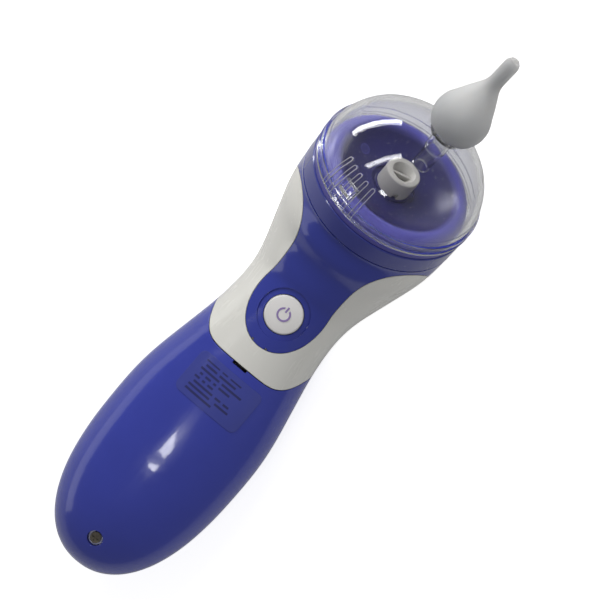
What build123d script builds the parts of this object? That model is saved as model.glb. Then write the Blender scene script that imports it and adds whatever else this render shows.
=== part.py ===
from build123d import *
import os
from math import asin, atan2, cos, pi, radians, sin, sqrt

# Hand-held electric nasal aspirator, lying on its back.  Millimetres.
# X runs along the handle towards the soft tip, Y across it, Z up out of the button face.
# The origin is on the resting plane, under the middle of the whole length.
# The shapes are worked out from the waist of the handle (x = 0 there) and shifted when written.

# ---- handle and neck ----
handle_reach = 104.8      # waist to the rounded end
belly_reach = 51.0        # waist to the widest place
handle_width = 50.3
handle_depth = 35.0
waist_width = 36.5
waist_depth = 32.6
flat_cut = 0.5            # taken off the back, so that it lies without rocking
end_drop = 2.0            # the rounded end sits this much lower than the belly's middle
end_squareness = 2.75
end_fullness = 2.12
wall = 2.4
shell_gap = 0.25          # between neighbouring shells

# ---- head ----
head_tilt = 46.5          # head axis above the handle axis, degrees
head_x = 49.1             # middle of the rim plane
head_z = 35.0
collar_radius = 27.2
collar_depth = 8.5        # rim plane down to the shells
neck_fullness = 0.9

# ---- colour split ----
seam_z = 16.6             # front and back shells meet here
split_front_x = -23.8     # white to blue on the front, at the middle
split_side_x = -12.0      # and at the sides
split_rear_rise = 13.0    # the blue rises this far above the side point on the back
split_half = 19.5
split_power = 6

# ---- front panel ----
panel_thickness = 1.5
panel_lobe_x = 0.6
panel_lobe_half = 12.0
panel_lobe_length = 16.4
panel_lobe_power = 2.3
panel_waist_x = 11.0
panel_waist_half = 11.45
panel_flare_half = 11.5
panel_flare_length = 20.5
panel_flare_power = 2.2
panel_gap = 0.12
pry_half = 2.6            # two small pry gaps at the panel's rounded end
pry_gap = 0.8

# ---- power button ----
button_x = -3.6
button_radius = 6.1
button_gap = 0.2
button_crown = 0.7
button_proud = 0.5
button_travel = 0.6
dimple_radius = 8.2
dimple_depth = 0.45

# ---- battery bay ----
cell_radius = 7.25
cell_length = 50.5
cell_gap = 0.7
cell_z = 15.0
nub_radius = 2.75
nub_length = 1.0
spring_length = 4.6
spring_radius = 3.2
spring_wire = 0.35
spring_turns = 4
contact_thickness = 0.4
bay_top_x = -34.4         # battery bay, end nearest the motor
tray_wall = 1.2
cover_screw_x = -93.3
screw_head_radius = 1.75
screw_head_height = 1.3
screw_shank_radius = 1.0
screw_recess_radius = 2.5
screw_sink = 1.7          # top of the head below the cover's face
screw_clearance = 0.08
boss_radius = 2.8
label_x0 = -41.6
label_x1 = -26.9
label_half = 11.9
label_thickness = 0.15
notch_half = 2.6
notch_depth = 0.45

# ---- motor and pump ----
motor_z = 12.0
motor_radius = 9.0
motor_x0 = -31.0
motor_x1 = -7.5
shaft_radius = 1.0
hub_radius = 3.0
hub_x0 = -4.6
hub_x1 = -1.2
pin_radius = 0.75
pin_tilt = 6.0            # the crank pin leans, so that the plate wobbles
wobble_x = 4.4            # the pin's axis crosses the shaft's axis here
plate_radius = 6.4
plate_thickness = 1.2
running_clearance = 0.06
pump_radius = 9.2
pump_x0 = -5.6
pump_split_x = 9.0
diaphragm_thickness = 1.2
valve_thickness = 2.0
pump_cap_thickness = 2.6
pump_wall = 1.4
pump_ports = 3
port_circle = 4.4
spigot_radius = 1.6
spigot_length = 4.5
spigot_z = 3.0            # suction spigot above the motor axis
hose_radius = 2.7

# ---- circuit board ----
board_x0 = -15.0
board_x1 = 9.0
board_half = 9.2
board_z = 21.9
board_thickness = 1.0
switch_size = 6.0
switch_height = 2.0
plunger_radius = 1.5
plunger_height = 0.6

# ---- head pieces, in the head's own axes: z along the head axis, x towards the back ----
deck_radius = 23.5
deck_thickness = 1.8
socket_bore = 4.25
socket_wall = 1.4
flange_radius = 26.9
flange_thickness = 1.4
lip_radius = 24.4
lip_width = 5.2
lip_height = 3.3
dish_wall = 1.5
dish_skirt = 3.6
spigot_outer = 3.6
spigot_bore = 2.6
spigot_drop = 9.6
oring_wire = 0.65
turret_radius = 5.6
turret_top = 5.1
turret_stem = 3.1
turret_stem_end = -3.3
turret_hole = 3.6
turret_floor_hole = 2.2
turret_bar = 0.9
turret_bar_turn = -68.0
turret_notch_turn = 206.0
hub_z = -1.6              # the turret's wide part starts here
recess_z = -2.4           # round recess in the dish, about the turret
dish_floor_z = -1.8
dish_low_z = -3.7
gasket_thickness = 0.5
rim_radius = 27.4
rim_height = 4.4
dome_radius = 26.6
dome_height = 22.3
dome_base = 2.2
dome_side_radius = 19.0   # the dome is rounder at its sides than on top
dome_wall = 1.6
dome_turn = -22.0         # the dome is turned this far off its locked place
rib_count = 5
rib_pitch = 7.0
rib_width = 1.1
rib_proud = 0.5
rib_top = 12.5
nozzle_offset = 6.5
nozzle_cant = 7.0
nozzle_radius = 3.4
nozzle_bore = 2.2
nozzle_length = 8.0
tube_radius = 2.9
tube_end = 6.3            # lower end of the drop tube, above the rim plane
tip_seat = 24.3           # where the tip's base sits, above the rim plane
bulb_radius = 8.95
bulb_centre = 5.0
stem_radius = 2.4
tip_length = 31.0
tip_wall = 1.5
tip_bore = 1.2

waist_z = waist_depth / 2 - flat_cut
belly_z = handle_depth / 2 - flat_cut
tilt = radians(head_tilt)
head_dir = Vector(cos(tilt), 0, sin(tilt))
back_dir = Vector(sin(tilt), 0, -cos(tilt))
head_centre = Vector(head_x, 0, head_z)
head = Plane(origin=head_centre, x_dir=back_dir, z_dir=head_dir)
cant = radians(nozzle_cant)
nozzle_side = (cos(cant), 0, -sin(cant))
nozzle_up = (sin(cant), 0, cos(cant))
nozzle = Plane(origin=(nozzle_offset, 0, tip_seat), x_dir=nozzle_side, z_dir=nozzle_up)
turned = Rotation(0, 0, dome_turn)


def bezier_point(p0, p1, p2, p3, s):
    """Point of a cubic curve at s from 0 to 1."""
    q = 1 - s
    weights = (q ** 3, 3 * q * q * s, 3 * q * s * s, s ** 3)
    return tuple(sum(w * p[i] for w, p in zip(weights, (p0, p1, p2, p3))) for i in (0, 1))


def collar_centre():
    return head_centre - head_dir * collar_depth


def neck_lines():
    """Front and back lines of the neck in the XZ plane, as cubic curves from the waist to the collar."""
    c = collar_centre()
    front_end = c - back_dir * collar_radius
    back_end = c + back_dir * collar_radius
    front_start = (0.0, waist_z + waist_depth / 2)
    back_start = (0.0, waist_z - waist_depth / 2)
    front_span = front_end.X - front_start[0]
    back_span = back_end.X - back_start[0]
    front = (
        front_start,
        (front_start[0] + 0.38 * front_span, front_start[1] + 0.04 * front_span),
        (front_end.X - 0.27 * front_span, front_end.Z - 0.27 * front_span * head_dir.Z / head_dir.X),
        (front_end.X, front_end.Z),
    )
    back = (
        back_start,
        (back_start[0] + 0.42 * back_span, back_start[1]),
        (back_end.X - 0.15 * back_span, back_end.Z - 0.15 * back_span * 0.95),
        (back_end.X, back_end.Z),
    )
    return front, back


def neck_half_width(x):
    u = min(max(x / collar_centre().X, 0), 1)
    blend = (0.5 - 0.5 * cos(pi * u)) ** neck_fullness
    return waist_width / 2 + (collar_radius - waist_width / 2) * blend


def section(origin, normal, half_width, half_depth):
    return Plane(origin=origin, x_dir=(0, 1, 0), z_dir=normal) * Ellipse(half_width, half_depth)


def body(inset):
    """The whole handle and neck as one solid, every section smaller by the inset."""
    length = handle_reach - belly_reach - inset
    half_w = handle_width / 2 - inset
    half_d = handle_depth / 2 - inset
    sections = [Vertex(-belly_reach - length, 0, belly_z - end_drop)]
    for angle in (10, 20, 30, 40, 50, 60, 70, 80):
        along = cos(radians(angle))
        ratio = (1 - along ** end_squareness) ** (1 / end_fullness)
        z = belly_z - end_drop * (1 - ratio)
        sections.append(section((-belly_reach - length * along, 0, z), (1, 0, 0), half_w * ratio, half_d * ratio))
    for step in range(6):
        blend = 0.5 + 0.5 * cos(pi * step / 6)
        z = waist_z + (belly_z - waist_z) * blend
        width = waist_width / 2 + (handle_width - waist_width) / 2 * blend - inset
        depth = waist_depth / 2 + (handle_depth - waist_depth) / 2 * blend - inset
        sections.append(section((-belly_reach * (1 - step / 6), 0, z), (1, 0, 0), width, depth))
    front, back = neck_lines()
    for step in range(6):
        f = bezier_point(*front, step / 5)
        b = bezier_point(*back, step / 5)
        depth = sqrt((f[0] - b[0]) ** 2 + (f[1] - b[1]) ** 2) / 2
        normal = ((f[1] - b[1]), 0, -(f[0] - b[0]))
        middle = ((f[0] + b[0]) / 2, 0, (f[1] + b[1]) / 2)
        sections.append(section(middle, normal, neck_half_width(middle[0]) - inset, depth - inset))
    return loft(sections) - Pos(0, 0, -50) * Box(400, 200, 100)


def front_half(lift):
    """Everything in front of the seam between the front and back shells, raised by lift."""
    c = collar_centre()
    far = c + head_dir * 60
    z = seam_z + lift
    rise = Vector(-sin(tilt), 0, cos(tilt)) * lift
    end = c + rise
    line = Line((-160, z), (0, z))
    bend = Bezier((0, z), (c.X * 0.5, z), (end.X - 10 * head_dir.X, end.Z - 10 * head_dir.Z), (end.X, end.Z))
    out = Line((end.X, end.Z), (far.X + rise.X, far.Z + rise.Z))
    closing = Polyline((far.X + rise.X, far.Z + rise.Z), (far.X, 160), (-160, 160), (-160, z))
    return extrude(Plane.XZ * make_face([line, bend, out, closing]), 80, both=True)


def handle_side(rear, gap):
    """Prism along Z over the blue part of the handle, held back by the gap."""
    points = []
    for step in range(-11, 12):
        y = 2.0 * step
        if rear:
            x = split_side_x + split_rear_rise * (1 - (y / split_half) ** 2)
        else:
            x = split_front_x + (split_side_x - split_front_x) * abs(y / split_half) ** split_power
        points.append((x - gap, y))
    edge = Spline(points)
    last = points[-1]
    rest = Polyline(last, (last[0], 40), (-160, 40), (-160, -40), (last[0], -40), points[0])
    return Pos(0, 0, -20) * extrude(make_face([edge, rest]), 120)


def panel_prism(grow):
    """Prism along Z over the blue front panel."""
    lower = []
    for angle in (0, 15, 30, 45, 60, 75, 90):
        along = cos(radians(angle))
        half = panel_lobe_half * (1 - along ** panel_lobe_power) ** 0.5
        lower.append((panel_lobe_x - (panel_lobe_length + grow) * along, half + (grow if angle else 0)))
    upper = []
    for x in (panel_waist_x - 5, panel_waist_x, panel_waist_x + 5, panel_waist_x + 10, panel_waist_x + 15,
              panel_waist_x + 20, panel_waist_x + 25, panel_waist_x + 32):
        reach = max(x - panel_waist_x, 0) / panel_flare_length
        upper.append((x, panel_waist_half + panel_flare_half * reach ** panel_flare_power + grow))
    right = lower + upper
    left = [(x, -y) for x, y in right]
    edge = Spline(list(reversed(left)) + right[1:])
    return Pos(0, 0, seam_z) * extrude(make_face([edge, Line(edge @ 1, edge @ 0)]), 80)


def cylinder_x(radius, x0, x1, y=0.0, z=motor_z):
    return Pos(x0, y, z) * extrude(Plane.YZ * Circle(radius), x1 - x0)


def cylinder_z(radius, z0, z1, x=0.0, y=0.0):
    return Pos(x, y, z0) * extrude(Circle(radius), z1 - z0)


def ring_z(outer, inner, z0, z1):
    return Pos(0, 0, z0) * extrude(Circle(outer) - Circle(inner), z1 - z0)


def cone_z(r0, r1, z0, z1, x=0.0, y=0.0):
    profile = Polyline((0, z0), (r0, z0), (r1, z1), (0, z1), close=True)
    return Pos(x, y, 0) * revolve(Plane.XZ * make_face(profile), Axis.Z)


def lathe(*edges):
    return revolve(Plane.XZ * make_face(edges), Axis.Z)


def front_surface_z(x):
    """Height of the front face on the middle line of the handle, read from the body itself."""
    probe = skin_outer & (Pos(x, 0, 60) * Box(0.2, 0.2, 100))
    return probe.bounding_box().max.Z


def tube(path, radius, bore=0.0):
    start = Plane(origin=path @ 0, z_dir=path % 0)
    solid = sweep(start * Circle(radius), path)
    if bore:
        solid -= sweep(start * Circle(bore), path)
    return solid


def screw_z(head_radius, head_height, shank, top, length):
    """Screw pointing down, its head's top face at the given height, with a cross recess."""
    solid = cylinder_z(head_radius, top - head_height, top) + cylinder_z(shank, top - length, top - head_height)
    for angle in (0, 90):
        solid -= Pos(0, 0, top) * Rotation(0, 0, angle) * Box(head_radius * 1.25, 0.5, 1.2)
    return solid


# ---- casings ----

def battery_cover():
    solid = casing_skin & front_half(shell_gap / 2) & handle_side(False, shell_gap / 2)
    top = front_surface_z(cover_screw_x)
    seat = top - screw_sink - screw_head_height
    wide = cylinder_z(screw_recess_radius + 1.1, seat - 1.6, top + 3, cover_screw_x) & body(0.4)
    narrow = cylinder_z(boss_radius, seam_z + 1.0, seat - 1.0, cover_screw_x)
    solid = solid + wide + narrow
    solid -= cylinder_z(screw_recess_radius, seat, top + 5, cover_screw_x)
    solid -= cylinder_z(screw_shank_radius + screw_clearance, 0, seat + 1, cover_screw_x)
    notch = Pos(split_front_x - notch_depth / 2, 0, 30) * Box(notch_depth + 1.0, 2 * notch_half, 20)
    return solid - notch


def rear_handle_shell():
    solid = casing_skin - front_half(-shell_gap / 2)
    solid = solid & handle_side(True, shell_gap / 2)
    boss = cylinder_z(boss_radius, 1, seam_z, cover_screw_x) & body(1.0)
    return solid + boss - cylinder_z(screw_shank_radius + screw_clearance, 9, 40, cover_screw_x)


def rear_body_shell():
    solid = casing_skin - front_half(-shell_gap / 2)
    return solid - handle_side(True, -shell_gap / 2)


def button_dimple():
    """Shallow round hollow about the button, its floor following the front face."""
    return (skin_outer - body(dimple_depth)) & cylinder_z(dimple_radius, 20, 60, button_x)


def front_body_shell():
    solid = casing_skin & front_half(shell_gap / 2)
    solid -= handle_side(False, -shell_gap / 2)
    pocket = (skin_outer - body(panel_thickness + panel_gap)) & panel_prism(panel_gap)
    solid -= pocket
    return solid - cylinder_z(button_radius + button_gap, 20, 60, button_x)


def front_panel():
    solid = (skin_outer - body(panel_thickness)) & panel_prism(0) & front_half(shell_gap)
    solid -= button_dimple()
    for y in (-pry_half, pry_half):
        solid -= Pos(panel_lobe_x - panel_lobe_length + pry_gap / 2, y, 40) * Box(1.2 * pry_gap, pry_gap, 30)
    return solid - cylinder_z(button_radius + button_gap, 20, 60, button_x)


def collar_ring():
    low = -collar_depth + shell_gap
    ledge = low + 2.0
    high = -flange_thickness - shell_gap
    inside = lip_radius + 0.35
    solid = lathe(Polyline(
        (deck_radius - 6, low), (collar_radius - 0.2, low), (collar_radius, low + 0.3), (collar_radius, high - 0.3),
        (collar_radius - 0.3, high), (inside, high), (inside, ledge), (deck_radius - 6, ledge), close=True))
    for spot in deck_screw_places():
        boss = cylinder_z(2.4, low - 2.0, ledge, *spot)
        solid = solid + boss - cylinder_z(1.0, low - 1.5, ledge + 1, *spot)
    return head * solid


# ---- controls ----

def power_button():
    top = front_surface_z(button_x) + button_proud
    stem_end = plunger_top()
    flange_top = waist_z + waist_depth / 2 - wall - 2.2
    face = Plane.XZ * make_face([
        Line((0, stem_end), (plunger_radius, stem_end)),
        Line((plunger_radius, stem_end), (plunger_radius, flange_top - 1.0)),
        Line((plunger_radius, flange_top - 1.0), (button_radius + 0.9, flange_top - 1.0)),
        Line((button_radius + 0.9, flange_top - 1.0), (button_radius + 0.9, flange_top)),
        Line((button_radius + 0.9, flange_top), (button_radius, flange_top)),
        Line((button_radius, flange_top), (button_radius, top - button_crown - 0.4)),
        ThreePointArc((button_radius, top - button_crown - 0.4), (button_radius - 0.15, top - button_crown - 0.1),
                      (button_radius - 0.45, top - button_crown + 0.1)),
        cap_arc(button_radius - 0.45, top - button_crown + 0.1, top),
        Line((0, top), (0, stem_end)),
    ])
    return Pos(button_x, 0, 0) * revolve(face, Axis.Z)


def power_symbol():
    """Broken ring and bar, printed on the button as a thin raised mark."""
    top = front_surface_z(button_x) + button_proud
    ring = Circle(2.25) - Circle(1.65)
    ring -= Pos(1.95, 0) * Rectangle(1.4, 1.7)
    bar = Pos(1.75, 0) * Rectangle(1.9, 0.55)
    mark = Pos(button_x, 0, top - 0.6) * extrude(ring + bar, 0.65)
    return mark - power_button()


def plunger_top():
    return board_z + board_thickness + switch_height + plunger_height


def switch_plunger():
    return cylinder_z(plunger_radius, plunger_top() - plunger_height - 0.9, plunger_top(), button_x)


def tact_switch():
    low = board_z + board_thickness
    solid = Pos(button_x, 0, low + switch_height / 2) * Box(switch_size, switch_size, switch_height)
    return solid - cylinder_z(plunger_radius + running_clearance, low + 0.4, low + 9, button_x)


def circuit_board():
    middle = (board_x0 + board_x1) / 2
    solid = Pos(middle, 0, board_z + board_thickness / 2) * Box(board_x1 - board_x0, 2 * board_half, board_thickness)
    for y in (-board_half + 2.2, board_half - 2.2):
        solid -= cylinder_z(1.1, 0, 60, board_x0 + 4.0, y)
    return solid


def board_parts():
    """Control chip, capacitor and indicator on the board."""
    z = board_z + board_thickness
    chip = Pos(4.6, 5.0, z + 0.7) * Box(5.0, 4.0, 1.4)
    capacitor = cylinder_z(1.6, z, z + 2.2, 5.6, -5.6)
    driver = Pos(-11.0, 0.0, z + 0.6) * Box(3.0, 3.0, 1.2)
    return Compound([chip, capacitor, driver])


# ---- battery bay ----

def bay_x0():
    return bay_top_x - cell_length - spring_length - 2 * contact_thickness


def cell_y(side):
    return side * (cell_radius + cell_gap / 2)


def battery(side):
    """Cylindrical cell: on one side the positive end points to the head, on the other to the rounded end."""
    low = bay_x0() + contact_thickness + (spring_length if side > 0 else 0)
    can_x0 = low if side > 0 else low + nub_length
    can = cylinder_x(cell_radius, can_x0, can_x0 + cell_length - nub_length, cell_y(side), cell_z)
    nub_x0 = can_x0 + cell_length - nub_length if side > 0 else low
    return can + cylinder_x(nub_radius, nub_x0, nub_x0 + nub_length, cell_y(side), cell_z)


def battery_tray():
    x0 = bay_x0() - tray_wall
    x1 = bay_top_x + tray_wall
    half = 2 * cell_radius + 1.4
    floor = Pos((x0 + x1) / 2, 0, cell_z - 6.6) * Box(x1 - x0, 2 * half, 5.2)
    for side in (-1, 1):
        floor -= cylinder_x(cell_radius + 0.15, x0 + tray_wall, bay_top_x, cell_y(side), cell_z)
    walls = []
    for x in (x0 + tray_wall / 2, bay_top_x + tray_wall / 2):
        walls.append(Pos(x, 0, cell_z - 1.0) * Box(tray_wall, 2 * half, 14))
    solid = (floor + walls) & body(wall + 0.3)
    return solid - cylinder_z(boss_radius + 0.3, 0, 60, cover_screw_x)


def bridge_contact():
    plate = Pos(bay_x0() + contact_thickness / 2, 0, cell_z + 0.5) * Box(contact_thickness, 24, 8)
    return plate - cylinder_z(boss_radius + 0.3, 0, 60, cover_screw_x)


def end_contacts():
    plates = []
    for side in (-1, 1):
        plates.append(Pos(bay_top_x - contact_thickness / 2, cell_y(side), cell_z) * Box(contact_thickness, 9, 9))
    return Compound(plates)


def contact_springs():
    """One spring under each cell's flat end."""
    height = spring_length - 2 * spring_wire - 0.1
    coil = Helix(pitch=height / spring_turns, height=height, radius=spring_radius)
    start = Plane(origin=coil @ 0, z_dir=coil % 0)
    wire = sweep(start * Circle(spring_wire), coil, is_frenet=True)
    along_x = Rotation(0, 90, 0) * wire
    low = Pos(bay_x0() + contact_thickness + spring_wire + 0.05, cell_y(1), cell_z) * along_x
    high = Pos(bay_top_x - contact_thickness - spring_length + spring_wire + 0.05, cell_y(-1), cell_z) * along_x
    return Compound([low.solid(), high.solid()])


def cover_screw():
    top = front_surface_z(cover_screw_x) - screw_sink
    length = top - 10.0
    return Pos(cover_screw_x, 0, 0) * screw_z(screw_head_radius, screw_head_height, screw_shank_radius, top, length)


def rating_label():
    """Blank rounded label on the battery cover."""
    middle = (label_x0 + label_x1) / 2
    outline = Pos(middle, 0, seam_z) * extrude(RectangleRounded(label_x1 - label_x0, 2 * label_half, 2.2), 60)
    return (body(-label_thickness) - skin_outer) & outline


# ---- motor and pump ----

def motor_can():
    solid = cylinder_x(motor_radius, motor_x0 + 2.4, motor_x1)
    solid -= cylinder_x(motor_radius - 0.8, motor_x0 + 2.0, motor_x1 - 0.8)
    return solid - cylinder_x(shaft_radius + running_clearance, -60, 60)


def motor_bell():
    solid = cylinder_x(motor_radius, motor_x0, motor_x0 + 2.4)
    for y in (-3.5, 3.5):
        solid += Pos(motor_x0 + 1.2, y, motor_z + motor_radius - 0.5) * Box(1.6, 1.4, 1.6)
    return solid - cylinder_x(shaft_radius + running_clearance, -60, 60)


def motor_rotor():
    """Laminated rotor on the shaft, as one plain drum."""
    solid = cylinder_x(motor_radius - 1.6, motor_x0 + 5.0, motor_x1 - 3.0)
    return solid - cylinder_x(shaft_radius, -60, 60)


def motor_shaft():
    return cylinder_x(shaft_radius, motor_x0 + 0.2, hub_x1 - 1.0)


def pin_plane():
    """Frame of the crank pin: origin where it crosses the shaft's axis, z along the pin towards the head."""
    lean = radians(pin_tilt)
    return Plane(origin=(wobble_x, 0, motor_z), x_dir=(-sin(lean), 0, -cos(lean)), z_dir=(cos(lean), 0, -sin(lean)))


def crank_hub():
    hub = cylinder_x(hub_radius, hub_x0, hub_x1) - cylinder_x(shaft_radius, -60, hub_x1 - 1.0)
    return hub + pin_plane() * cylinder_z(pin_radius, hub_x1 - wobble_x - 0.7, -0.6)


def wobble_plate():
    plate = cylinder_z(2.2, -4.2, -0.8) + cylinder_z(plate_radius, -2.8, -2.8 + plate_thickness)
    plate -= cylinder_z(pin_radius + running_clearance, -20, 20)
    for index in range(3):
        angle = radians(60 + 120 * index)
        plate -= cylinder_z(1.7, -20, 20, plate_radius * cos(angle), plate_radius * sin(angle))
    return pin_plane() * plate


def pump_housing():
    solid = cylinder_x(pump_radius, pump_x0, pump_split_x - diaphragm_thickness)
    solid -= cylinder_x(pump_radius - pump_wall, pump_x0 + 0.8, 60)
    return solid - cylinder_x(shaft_radius + 0.3, -60, 60)


def port_places():
    for index in range(pump_ports):
        angle = radians(90 + 360 * index / pump_ports)
        yield port_circle * cos(angle), motor_z + port_circle * sin(angle)


def diaphragm():
    """Rubber disc with one small cup for each chamber."""
    low = pump_split_x - diaphragm_thickness
    solid = cylinder_x(pump_radius, low, pump_split_x)
    for y, z in port_places():
        solid += cylinder_x(2.4, low - 2.6, low, y, z)
        solid -= cylinder_x(1.6, low - 1.8, 60, y, z)
    return solid


def valve_plate():
    solid = cylinder_x(pump_radius, pump_split_x, pump_split_x + valve_thickness)
    for y, z in port_places():
        for offset in (-0.95, 0.95):
            solid -= cylinder_x(0.45, -60, 60, y + offset, z)
    return solid


def pump_cap():
    low = pump_split_x + valve_thickness
    high = low + pump_cap_thickness
    solid = cylinder_x(pump_radius, low, high)
    solid += cylinder_x(spigot_radius, high, high + spigot_length, 0, motor_z + spigot_z)
    solid += cylinder_x(spigot_radius, high, high + 2.5, 0, motor_z - 5.0)
    solid -= cylinder_x(0.8, low + 1.2, 60, 0, motor_z + spigot_z)
    solid -= cylinder_x(0.8, low + 1.2, 60, 0, motor_z - 5.0)
    return solid - cylinder_x(pump_radius - 1.6, low - 1, low + 1.2)


def suction_hose():
    start = Vector(pump_split_x + valve_thickness + pump_cap_thickness, 0, motor_z + spigot_z)
    end = head_centre - head_dir * (socket_drop() + 0.0)
    corner_x = end.X - (end.Z - start.Z) * head_dir.X / head_dir.Z
    path = FilletPolyline(start, (corner_x, 0, start.Z), end, radius=13)
    return tube(path, hose_radius, spigot_radius)


def motor_cradle():
    """Carries the motor, the pump's front and the circuit board."""
    solid = Pos((board_x0 + board_x1) / 2, 0, board_z - 0.35) * Box(board_x1 - board_x0, 2 * board_half, 0.7)
    for x in (motor_x0 + 5, board_x0 + 3):
        solid += Pos(x, 0, (board_z + 1.8) / 2) * Box(2.0, 22, board_z - 1.8)
    for y in (-10.1, 10.1):
        solid += Pos((motor_x0 + board_x0) / 2 + 3, y, motor_z) * Box(board_x0 - motor_x0, 1.8, 3)
    solid = solid & body(wall + 0.1)
    for y in (-board_half + 2.2, board_half - 2.2):
        solid -= cylinder_z(0.9, board_z - 6, 60, board_x0 + 4.0, y)
    return solid - cylinder_x(motor_radius + 0.05, -80, 80)


def cradle_screws():
    screws = []
    for y in (-board_half + 2.2, board_half - 2.2):
        screws.append(Pos(board_x0 + 4.0, y, 0) * screw_z(1.6, 1.0, 0.9, board_z + board_thickness + 1.0, 5.0))
    return Compound([s.solid() for s in screws])


def leads(points, radius):
    """Pair of insulated wires, mirrored across the middle plane."""
    wires = []
    for side in (-1, 1):
        route = [(x, side * y, z) for x, y, z in points]
        path = FilletPolyline(*route, radius=2.2)
        wires.append(tube(path, radius).solid())
    return Compound(wires)


def battery_leads():
    z = board_z + board_thickness + 0.8
    return leads([(bay_top_x + tray_wall + 0.3, 12.0, 15.0), (-25.0, 12.4, 16.0), (-18.5, 9.4, z - 0.4), (-13.6, 6.2, z)], 0.6)


def motor_leads():
    z = board_z + board_thickness + 0.8
    return leads([(motor_x0 + 1.0, 3.5, z - 1.0), (-22.0, 3.5, z - 0.4), (-13.6, 3.5, z)], 0.6)


# ---- head ----

def deck_screw_places():
    return [(20.0 * cos(radians(a)), 20.0 * sin(radians(a))) for a in (0, 120, 240)]


def deck_low():
    return -collar_depth + shell_gap + 2.0


def socket_drop():
    return deck_low() * -1 + 5.6


def suction_deck():
    low = deck_low()
    high = low + deck_thickness
    bottom = -socket_drop()
    solid = cylinder_z(deck_radius, low, high) + cylinder_z(socket_bore + socket_wall, bottom, high)
    solid += cylinder_z(spigot_radius, bottom - spigot_length, bottom)
    solid -= cylinder_z(socket_bore, bottom + 1.4, 20)
    solid -= cylinder_z(0.9, -60, 20)
    for spot in deck_screw_places():
        solid -= cylinder_z(1.1, -60, 20, *spot)
    return head * solid


def deck_screws():
    top = deck_low() + deck_thickness + 1.0
    screws = [Pos(x, y, 0) * screw_z(1.8, 1.0, 0.98, top, 5.4) for x, y in deck_screw_places()]
    return Compound([(head * s).solid() for s in screws])


def collection_dish():
    """Bowl with a rounded lip, a flange that sits on the collar and a spigot into the deck."""
    mid = lip_radius - lip_width / 2
    in_lip = lip_radius - lip_width
    skirt_in = lip_radius - dish_wall
    thick = flange_thickness
    floor_in = turret_radius + 1.8
    ledge = turret_stem_end - 0.2
    solid = lathe(
        Line((turret_stem, hub_z), (turret_radius + 0.6, hub_z)),
        Line((turret_radius + 0.6, hub_z), (turret_radius + 0.6, recess_z)),
        Line((turret_radius + 0.6, recess_z), (floor_in, recess_z)),
        Line((floor_in, recess_z), (floor_in, dish_floor_z)),
        ThreePointArc((floor_in, dish_floor_z), (14.0, -1.0), (in_lip, 2.0)),
        ThreePointArc((in_lip, 2.0), (mid, lip_height), (lip_radius, 1.6)),
        Line((lip_radius, 1.6), (lip_radius, 0)),
        Line((lip_radius, 0), (flange_radius, 0)),
        Line((flange_radius, 0), (flange_radius, -thick)),
        Line((flange_radius, -thick), (lip_radius, -thick)),
        Line((lip_radius, -thick), (lip_radius, -dish_skirt)),
        Line((lip_radius, -dish_skirt), (skirt_in, -dish_skirt)),
        Line((skirt_in, -dish_skirt), (skirt_in, 0.6)),
        ThreePointArc((skirt_in, 0.6), (mid, lip_height - dish_wall), (in_lip + 0.5, 0.5)),
        ThreePointArc((in_lip + 0.5, 0.5), (14.2, -2.45), (floor_in, dish_low_z)),
        Line((floor_in, dish_low_z), (spigot_outer, dish_low_z)),
        Line((spigot_outer, dish_low_z), (spigot_outer, -spigot_drop)),
        Line((spigot_outer, -spigot_drop), (spigot_bore, -spigot_drop)),
        Line((spigot_bore, -spigot_drop), (spigot_bore, ledge)),
        Line((spigot_bore, ledge), (turret_stem, ledge)),
        Line((turret_stem, ledge), (turret_stem, hub_z)),
    )
    groove = Pos(0, 0, -spigot_drop + 1.2) * extrude(Circle(10) - Circle(spigot_outer - 0.45), 1.4)
    return head * (solid - groove)


def spigot_seal():
    """Ring in the groove of the dish's spigot."""
    z = -spigot_drop + 1.2 + 0.7
    ring = Pos(0, 0, z) * Torus(socket_bore - running_clearance - oring_wire, oring_wire)
    return head * (ring - cylinder_z(spigot_outer - 0.45, -20, 0))


def rim_gasket():
    low = 0
    return head * ring_z(flange_radius - 0.3, lip_radius + 0.1, low, low + gasket_thickness)


def air_inlet_turret():
    """Round inlet with a funnel mouth, a bar across it and a small notch at its foot."""
    top = turret_top
    solid = lathe(
        Line((turret_floor_hole, turret_stem_end), (turret_stem, turret_stem_end)),
        Line((turret_stem, turret_stem_end), (turret_stem, hub_z)),
        Line((turret_stem, hub_z), (turret_radius, hub_z)),
        Line((turret_radius, hub_z), (turret_radius, top - 0.5)),
        ThreePointArc((turret_radius, top - 0.5), (turret_radius - 0.15, top - 0.15), (turret_radius - 0.5, top)),
        Line((turret_radius - 0.5, top), (turret_hole + 0.3, top)),
        Line((turret_hole + 0.3, top), (turret_hole, top - 0.3)),
        Line((turret_hole, top - 0.3), (turret_floor_hole, top - 2.6)),
        Line((turret_floor_hole, top - 2.6), (turret_floor_hole, turret_stem_end)),
    )
    bar = Pos(0, 0, top - 2.1) * Rotation(0, 0, turret_bar_turn) * Box(2 * turret_hole - 0.6, turret_bar, 1.6)
    notch = Rotation(0, 0, turret_notch_turn) * Pos(turret_radius - 0.2, 0, hub_z + 1.2) * Box(1.6, 1.5, 2.4)
    return head * (solid + bar - notch)


def cap_arc(radius, edge_z, top_z):
    """Arc of a sphere centred on the axis, from the edge up to the pole."""
    rise = top_z - edge_z
    ball = (radius ** 2 + rise ** 2) / (2 * rise)
    half = asin(radius / ball) / 2
    return ThreePointArc((radius, edge_z), (ball * sin(half), top_z - ball * (1 - cos(half))), (0, top_z))


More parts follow.
